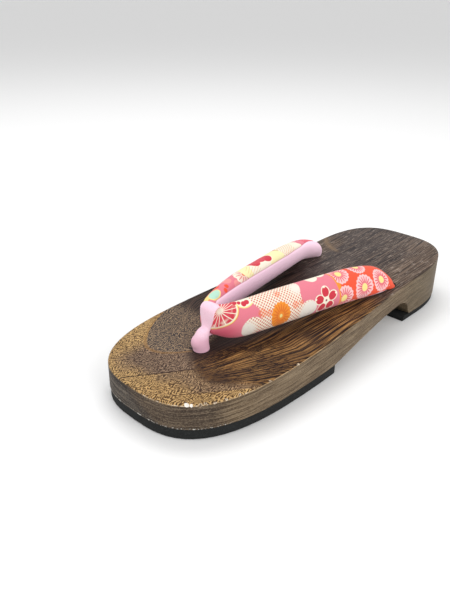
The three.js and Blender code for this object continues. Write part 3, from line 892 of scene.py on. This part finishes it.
def strap_cloth(name, layout):
    """Printed cotton outside the seam and soft pink lining inside it."""
    shader = Shader(name)
    cloth = Cloth(shader, PINK)
    layout(cloth)
    beyond_seam = shader.pattern_place("seam")[0]
    lining = beyond_seam.below(0.0, 0.3)
    thread = 0.85
    warp_thread = (cloth.u * (2 * math.pi / thread)).sine()
    weft_thread = (cloth.v * (2 * math.pi / thread)).sine()
    slub = shader.noise(2, cloth.u / 0.35, cloth.v / 1.8, 0.0)
    weave = warp_thread * weft_thread
    printed = shader.mix((weave * 0.5 + 0.5) * 0.15 + (slub - 0.5) * 0.2, cloth.colour, shade(180, 120, 110))
    nap = shader.noise(3, cloth.u / 0.5, cloth.v / 0.5, 0.0)
    brushed = shader.noise(2, cloth.u / 9, cloth.v / 5, 0.0)
    soft = shader.mix(nap.above(0.5, 0.4) * 0.3, shade(254, 220, 237), shade(242, 198, 219))
    soft = shader.mix((brushed - 0.35) * 0.5, soft, shade(255, 230, 243))
    colour = shader.mix(lining, printed, soft)
    crease = beyond_seam.near(0.0, 0.25, 0.45)
    colour = shader.mix(crease * 0.5, colour, shade(176, 96, 112))
    height = (weave * 0.25 + slub * 0.5) * (1 - lining) + nap * lining * 0.9
    return shader.finish(colour, 0.78 + lining * 0.12, shader.bump(height, 0.14, 0.7),
                         Specular_IOR_Level=0.25, Sheen_Weight=0.12, Sheen_Roughness=0.5)


def near_print(settings):
    return strap_cloth("near_print", near_layout)


def far_print(settings):
    return strap_cloth("far_print", far_layout)


def pink_lining(settings):
    """Brushed pink fabric of the thong."""
    shader = Shader("pink_lining")
    x, y, z = shader.place()
    nap = shader.noise(3, x / 0.5, y / 0.5, z / 0.5)
    brushed = shader.noise(2, x / 4, y / 4, z / 6)
    colour = shader.mix(nap.above(0.5, 0.4) * 0.4, shade(251, 212, 228), shade(236, 188, 208))
    colour = shader.mix((brushed - 0.35) * 0.6, colour, shade(254, 224, 238))
    # Painted shade: darker towards the bottom of the thong, on its ball between the straps.
    colour = shader.mix(z.below(27.5, 3.5) * 0.65, colour, shade(226, 166, 188))
    return shader.finish(colour, 0.9, shader.bump(nap, 0.16, 0.8),
                         Specular_IOR_Level=0.2, Sheen_Weight=0.2, Sheen_Roughness=0.5)


def twisted_cord(settings):
    """Pale hemp cord, its strands running slantwise round it."""
    shader = Shader("twisted_cord")
    x, y, z = shader.place()
    strand = ((x + y + z * 1.2) * (2 * math.pi / 2.4)).sine() * 0.5 + 0.5
    fibre = shader.noise(2, x / 0.3, y / 0.3, z / 0.9)
    colour = shader.layered(
        shade(225, 215, 200), (strand.below(0.3, 0.3) * 0.6, shade(168, 152, 130)),
        (fibre.above(0.55, 0.1) * 0.3, shade(240, 232, 220)))
    return shader.finish(colour, 0.9, shader.bump(strand + fibre * 0.3, 0.3, 0.8), Specular_IOR_Level=0.2)


def pale_floor(settings):
    return Shader("pale_floor").finish(tuple(settings.floor_colour), 0.6)


MATERIALS = {}


def material(settings, maker):
    """One material of each kind, made when a piece first needs it."""
    if maker.__name__ not in MATERIALS:
        MATERIALS[maker.__name__] = maker(settings)
    return MATERIALS[maker.__name__]


def make_nicks(settings):
    """One cutter for all the nicks: lumps that bite into the rounded edge, of bare wood inside."""
    lumps = []
    for along, reach, depth in EDGE_NICKS:
        slope = (half_width(along + 0.1) - half_width(along - 0.1)) / 0.2
        outward = Vector((1, -slope, 0)).normalized()
        rounded = settings.edge_round / MM * (1 - math.sqrt(0.5))
        out = (reach - depth) * math.sqrt(0.5) - rounded
        place = Vector((half_width(along), along, tread_height(along))) + outward * out + Vector((0, 0, out))
        deselect_all()
        bpy.ops.mesh.primitive_ico_sphere_add(
            subdivisions=2, radius=reach * MM, location=place * MM, scale=(1, 1.5, 0.8),
            rotation=(along, along * 2, along * 3))
        lumps.append(settle(take_new("nick")))
    select_only(lumps[0])
    for lump in lumps:
        lump.select_set(True)
    bpy.ops.object.join()
    return paint(lumps[0], material(settings, bare_wood))


def make_sole(settings):
    """The wooden body: outline block, tread heights, softened edge, arch, holes and nicks."""
    sole = outline_block("wooden_body", settings.outline_points, settings.tread_bands)
    points = coordinates(sole) / MM
    top = points[:, 2] > HEEL_HEIGHT / 2
    points[:, 2] = np.where(top, tread_height(points[:, 1]), WOOD_BOTTOM)
    place_vertices(sole, points * MM)
    select_only(sole)
    bpy.ops.object.mode_set(mode="EDIT")
    bpy.ops.mesh.select_mode(type="EDGE")
    bpy.ops.mesh.select_all(action="DESELECT")
    bpy.ops.object.mode_set(mode="OBJECT")
    steep = [abs(face.normal.z) < 0.5 for face in sole.data.polygons]
    edge_faces = {}
    for face in sole.data.polygons:
        for key in face.edge_keys:
            edge_faces.setdefault(key, []).append(face.index)
    middle = (WOOD_BOTTOM + TOE_HEIGHT) / 2 * MM
    for edge in sole.data.edges:
        sides = [steep[index] for index in edge_faces[edge.key]]
        high = min(sole.data.vertices[index].co.z for index in edge.vertices) > middle
        edge.select = high and any(sides) and not all(sides)
    bpy.ops.object.mode_set(mode="EDIT")
    bpy.ops.mesh.bevel(offset=settings.edge_round, segments=4, profile=0.5, affect="EDGES")
    bpy.ops.object.mode_set(mode="OBJECT")
    bore_top = HEEL_HEIGHT + 5
    cut(sole,
        profile_block("underside", underside_profile(), 3 * TOE_HALF_WIDTH),
        bore("front_bore", FRONT_HOLE_RADIUS, 0, FRONT_HOLE_ALONG, bore_top),
        bore("knot_bore", KNOT_RECESS_RADIUS, 0, FRONT_HOLE_ALONG, KNOT_RECESS_TOP),
        bore("near_bore", REAR_HOLE_RADIUS, REAR_HOLE_OUT, REAR_HOLE_ALONG, bore_top),
        bore("far_bore", REAR_HOLE_RADIUS, -REAR_HOLE_OUT, REAR_HOLE_ALONG, bore_top))
    paint(sole, material(settings, burnt_wood))
    cut(sole, make_nicks(settings), material_mode="TRANSFER", use_self=True)
    return carry(smooth(sole, 35), "burnt_wood", "wood_sole")


def softened_copy(node, name, width):
    """A copy of a CAD node with its doubles merged, its flat faces cleaned and its edges rounded."""
    deselect_all()
    copy = frame["nodes"][node].copy()
    copy.data = copy.data.copy()
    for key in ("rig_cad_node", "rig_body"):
        del copy[key]
    copy.parent = None
    copy.name = name
    bpy.context.scene.collection.objects.link(copy)
    select_only(copy)
    bpy.ops.object.mode_set(mode="EDIT")
    bpy.ops.mesh.select_all(action="SELECT")
    bpy.ops.mesh.remove_doubles(threshold=0.002 * MM)
    bpy.ops.mesh.dissolve_limited(angle_limit=math.radians(1))
    bpy.ops.object.mode_set(mode="OBJECT")
    apply_modifier(copy, "BEVEL", width=width * MM, segments=2, limit_method="ANGLE",
                   angle_limit=math.radians(50))
    return smooth(copy, 35)


def make_rubbers(settings):
    for node in ("front_rubber", "heel_rubber"):
        rubber = softened_copy(node, node + "_sheet", 0.3)
        paint(rubber, material(settings, black_rubber))
        carry(rubber, "black_rubber", node)


def make_strap(settings, name, rows, side, seam):
    """One padded strap, pinched under the thong, pressed on the tread and tucked into its hole."""
    band_along, band_reach = -67.0, 3.2
    seam_reach, press_gap, hole_gap = 0.55, 0.3, 0.35
    rings, shares = swept_points(rows, settings.strap_rings, settings.strap_sides)
    centres = rings.mean(1)
    pinch = 1 - settings.band_pinch * np.exp(-((centres[:, 1] - band_along) / band_reach) ** 2)
    high = np.clip((rings[..., 2] - centres[:, None, 2]) / 3, 0, 1)
    pinch = 1 - high * (1 - pinch[:, None])
    rings = (centres[:, None] + (rings - centres[:, None]) * pinch[..., None]) * (side, 1, 1)
    along = np.concatenate([[0], np.cumsum(np.linalg.norm(np.diff(centres, axis=0), axis=1))])
    along -= np.interp(0, shares, along)
    step = np.linalg.norm(np.diff(rings, axis=1), axis=2)
    around = np.concatenate([np.zeros((len(rings), 1)), np.cumsum(step, 1)], 1)
    around -= around[:, rings.shape[1] // 2][:, None]
    seam_place = np.interp(along, *zip(*seam))[:, None]
    groove = settings.seam_depth / MM * np.exp(-((around - seam_place) / seam_reach) ** 2)
    inward = centres[:, None] * (side, 1, 1) - rings
    rings = rings + inward / np.maximum(np.linalg.norm(inward, axis=2), 0.5)[..., None] * groove[..., None]
    reach = np.linalg.norm(rings[..., :2] - (side * REAR_HOLE_OUT, REAR_HOLE_ALONG), axis=-1)
    floor_height = tread_height(rings[..., 1]) + press_gap
    pressed = (rings[..., 2] < floor_height) & (reach > REAR_HOLE_RADIUS - hole_gap)
    rings[..., 2] = np.where(pressed, floor_height, rings[..., 2])
    walked = np.broadcast_to(along[:, None], around.shape)
    layers = {"pattern": np.stack([walked, around], -1),
              "seam": np.stack([around - seam_place, walked], -1)}
    return smooth(grid_piece(name, rings, layers), 60)


def close_gaps(obj):
    """Fills the small openings that the union leaves in the joined straps."""
    select_only(obj)
    bpy.ops.object.mode_set(mode="EDIT")
    bpy.ops.mesh.select_mode(type="EDGE")
    bpy.ops.mesh.select_all(action="DESELECT")
    bpy.ops.mesh.select_non_manifold(
        use_wire=False, use_boundary=True, use_multi_face=False, use_non_contiguous=False, use_verts=False)
    bpy.ops.mesh.fill_holes(sides=0)
    bpy.ops.object.mode_set(mode="OBJECT")


def make_upper(settings):
    """The two straps, joined where they cross under the thong."""
    upper = make_strap(settings, "padded_straps", NEAR_STRAP, 1, NEAR_SEAM)
    far = make_strap(settings, "far_strap", FAR_STRAP, -1, FAR_SEAM)
    paint(upper, material(settings, near_print))
    paint(far, material(settings, far_print))
    cut(upper, far, operation="UNION", material_mode="TRANSFER")
    close_gaps(upper)
    smooth(upper, 60)
    carry(upper, "printed_fabric", "strap_upper")


def make_thong(settings):
    """The fabric band over the fork, gathered into a soft ball where it enters the tread."""
    thong = grid_piece("toe_thong_fabric", swept_points(THONG_BULGE, 40, 48)[0])
    band = grid_piece("band", swept_points(THONG_BAND, 120, 48)[0])
    deselect_all()
    bpy.ops.mesh.primitive_uv_sphere_add(
        segments=48, ring_count=24, radius=4.3 * MM, location=np.array((-0.5, -74.5, 24.0)) * MM,
        scale=(1, 1, 1.04))
    cut(thong, band, settle(take_new("ball")), operation="UNION")
    apply_modifier(thong, "REMESH", mode="VOXEL", voxel_size=settings.thong_voxel)
    apply_modifier(thong, "SMOOTH", factor=0.5, iterations=4)
    smooth(thong, 80)
    paint(thong, material(settings, pink_lining))
    carry(thong, "pink_lining", "toe_thong")


def make_cord(settings, name, low, high, out, along, radius, knot_radius, knot_up):
    """A twisted cord down a hole, with the knot that stops it below the wood."""
    deselect_all()
    turns = np.linspace(0, 1, 60)
    ring_turns = np.linspace(-math.pi, math.pi, 25)
    up = low + (high - low) * turns
    lobes = radius * (0.86 + 0.14 * np.abs(np.cos(1.5 * (ring_turns[None] + up[:, None] * 1.4))))
    ends = np.sqrt(np.maximum(1 - np.maximum(np.abs(2 * turns - 1) - 0.94, 0) ** 2 / 0.0036, 0))
    reach = lobes * ends[:, None]
    rings = np.stack([out + reach * np.cos(ring_turns), along + reach * np.sin(ring_turns),
                      np.broadcast_to(up[:, None], reach.shape)], -1)
    cord = grid_piece(name, rings)
    parts = [cord]
    for level, tilt in ((-0.55, 14), (0.55, -12)):
        deselect_all()
        bpy.ops.mesh.primitive_torus_add(
            major_radius=knot_radius * MM, minor_radius=knot_radius * 0.42 * MM,
            major_segments=40, minor_segments=16,
            location=(out * MM, along * MM, (knot_up + level * knot_radius * 0.42) * MM),
            rotation=(math.radians(tilt), math.radians(-tilt / 2), 0))
        parts.append(settle(take_new("wrap")))
    select_only(cord)
    for part in parts:
        part.select_set(True)
    bpy.ops.object.join()
    apply_modifier(cord, "REMESH", mode="VOXEL", voxel_size=0.3 * MM)
    smooth(cord, 80)
    paint(cord, material(settings, twisted_cord))
    return carry(cord, "pink_lining")


def make_cords(settings):
    make_cord(settings, "thong_cord", 7.6, 19, 0, FRONT_HOLE_ALONG, 3.0, 4.2, 9.8)
    make_cord(settings, "near_cord", 8.6, 24, REAR_HOLE_OUT, REAR_HOLE_ALONG, 3.6, 3.6, 11.6)
    make_cord(settings, "far_cord", 8.6, 24, -REAR_HOLE_OUT, REAR_HOLE_ALONG, 3.6, 3.6, 11.6)


CAMERA_PLACE = (0.1974, -0.2604, 0.1840)
CAMERA_AZIMUTH, CAMERA_ELEVATION, CAMERA_ROLL = 44.208, 26.733, 0.547
CAMERA_LENS = 38.44


def make_camera():
    azimuth, elevation, roll = map(math.radians, (CAMERA_AZIMUTH, CAMERA_ELEVATION, CAMERA_ROLL))
    back = Vector((math.sin(azimuth) * math.cos(elevation), -math.cos(azimuth) * math.cos(elevation),
                   math.sin(elevation)))
    across = Vector((math.cos(azimuth), math.sin(azimuth), 0))
    rise = back.cross(across)
    turned_across = across * math.cos(roll) + rise * math.sin(roll)
    turned_rise = rise * math.cos(roll) - across * math.sin(roll)
    data = bpy.data.cameras.new("camera")
    data.lens = CAMERA_LENS
    data.clip_start, data.clip_end = 0.01, 20
    camera = bpy.data.objects.new("camera", data)
    bpy.context.scene.collection.objects.link(camera)
    matrix = Matrix((turned_across, turned_rise, back)).transposed().to_4x4()
    matrix.translation = CAMERA_PLACE
    camera.matrix_world = matrix
    bpy.context.scene.camera = camera


def make_light(name, place, target, size, power):
    data = bpy.data.lights.new(name, "AREA")
    data.shape = "RECTANGLE"
    data.size, data.size_y = size
    data.energy = power
    light = bpy.data.objects.new(name, data)
    bpy.context.scene.collection.objects.link(light)
    light.location = place
    light.rotation_euler = (Vector(target) - Vector(place)).to_track_quat("-Z", "Y").to_euler()


def make_stage(settings):
    deselect_all()
    bpy.ops.mesh.primitive_plane_add(size=60)
    floor = take_new("floor")
    paint(floor, material(settings, pale_floor))
    world = bpy.data.worlds.new("studio")
    world.use_nodes = True
    background = world.node_tree.nodes["Background"]
    background.inputs["Color"].default_value = (1, 1, 1, 1)
    background.inputs["Strength"].default_value = settings.fill_light
    bpy.context.scene.world = world
    bpy.context.scene.view_settings.view_transform = "Standard"
    make_light("key_light", (-0.35, 0.25, 0.9), (0, 0, 0.02), (0.7, 0.5), settings.key_light)
    make_light("side_light", (0.9, -0.1, 0.5), (0, 0, 0.02), (0.6, 0.6), settings.side_light)
    make_light("front_light", (-0.45, -0.85, 0.6), (0, 0, 0.02), (0.6, 0.6), settings.front_light)
    make_camera()


class GetaSettings(bpy.types.PropertyGroup):
    outline_points: bpy.props.IntProperty(
        name="Outline points", description="Points round the sole's plan outline", default=240)
    tread_bands: bpy.props.IntProperty(
        name="Tread bands", description="Bands across the tread that follow its sag", default=30)
    edge_round: bpy.props.FloatProperty(
        name="Edge round", description="Rounding of the tread's edge", default=1.2 * MM, unit="LENGTH")
    strap_rings: bpy.props.IntProperty(
        name="Strap rings", description="Sections along a strap", default=200)
    strap_sides: bpy.props.IntProperty(
        name="Strap sides", description="Points round a strap", default=96)
    seam_depth: bpy.props.FloatProperty(
        name="Seam depth", description="Depth of the seam between print and lining",
        default=0.3 * MM, unit="LENGTH")
    band_pinch: bpy.props.FloatProperty(
        name="Band pinch", description="How much the thong's band squeezes the straps",
        default=0.14, subtype="FACTOR")
    thong_voxel: bpy.props.FloatProperty(
        name="Thong detail", description="Grain of the thong's joined mesh",
        default=0.35 * MM, unit="LENGTH")
    fill_light: bpy.props.FloatProperty(
        name="Fill light", description="Strength of the even light all round", default=0.7)
    key_light: bpy.props.FloatProperty(
        name="Key light", description="Power of the overhead soft box", default=3.3, unit="POWER")
    side_light: bpy.props.FloatProperty(
        name="Side light", description="Power of the soft box at the near side", default=4.0, unit="POWER")
    front_light: bpy.props.FloatProperty(
        name="Front light", description="Power of the soft box before the toe", default=2.6, unit="POWER")
    floor_colour: bpy.props.FloatVectorProperty(
        name="Floor colour", description="Colour of the floor", default=(0.95, 0.95, 0.95),
        size=3, subtype="COLOR")


class GETA_OT_sole(bpy.types.Operator):
    """Carve the burnt wooden sole"""
    bl_idname = "geta.sole"
    bl_label = "Wooden sole"

    def execute(self, context):
        make_sole(context.scene.geta)
        return {"FINISHED"}


class GETA_OT_rubbers(bpy.types.Operator):
    """Finish the two rubber outsoles"""
    bl_idname = "geta.rubbers"
    bl_label = "Rubber outsoles"

    def execute(self, context):
        make_rubbers(context.scene.geta)
        return {"FINISHED"}


class GETA_OT_upper(bpy.types.Operator):
    """Pad and cover the two straps"""
    bl_idname = "geta.upper"
    bl_label = "Padded straps"

    def execute(self, context):
        make_upper(context.scene.geta)
        return {"FINISHED"}


class GETA_OT_thong(bpy.types.Operator):
    """Wrap the toe thong round the fork"""
    bl_idname = "geta.thong"
    bl_label = "Toe thong"

    def execute(self, context):
        make_thong(context.scene.geta)
        return {"FINISHED"}


class GETA_OT_cords(bpy.types.Operator):
    """Knot the three cords below the wood"""
    bl_idname = "geta.cords"
    bl_label = "Knotted cords"

    def execute(self, context):
        make_cords(context.scene.geta)
        return {"FINISHED"}


class GETA_OT_stage(bpy.types.Operator):
    """Set the floor, the lights and the camera"""
    bl_idname = "geta.stage"
    bl_label = "Stage"

    def execute(self, context):
        make_stage(context.scene.geta)
        return {"FINISHED"}


STEPS = (GETA_OT_stage, GETA_OT_sole, GETA_OT_rubbers, GETA_OT_upper, GETA_OT_thong, GETA_OT_cords)


class GETA_PT_panel(bpy.types.Panel):
    """Lists the steps that dress the sandal"""
    bl_idname = "GETA_PT_panel"
    bl_label = "Geta sandal"
    bl_space_type = "VIEW_3D"
    bl_region_type = "UI"
    bl_category = "Geta"

    def draw(self, context):
        for step in STEPS:
            self.layout.operator(step.bl_idname)
        for name in GetaSettings.__annotations__:
            self.layout.prop(context.scene.geta, name)


CLASSES = (GetaSettings, *STEPS, GETA_PT_panel)


def register():
    for item in CLASSES:
        bpy.utils.register_class(item)
    bpy.types.Scene.geta = bpy.props.PointerProperty(type=GetaSettings)


def unregister():
    del bpy.types.Scene.geta
    for item in reversed(CLASSES):
        bpy.utils.unregister_class(item)


def main():
    register()
    for step in STEPS:
        group, name = step.bl_idname.split(".")
        getattr(getattr(bpy.ops, group), name)()


if __name__ == "__main__":
    main()
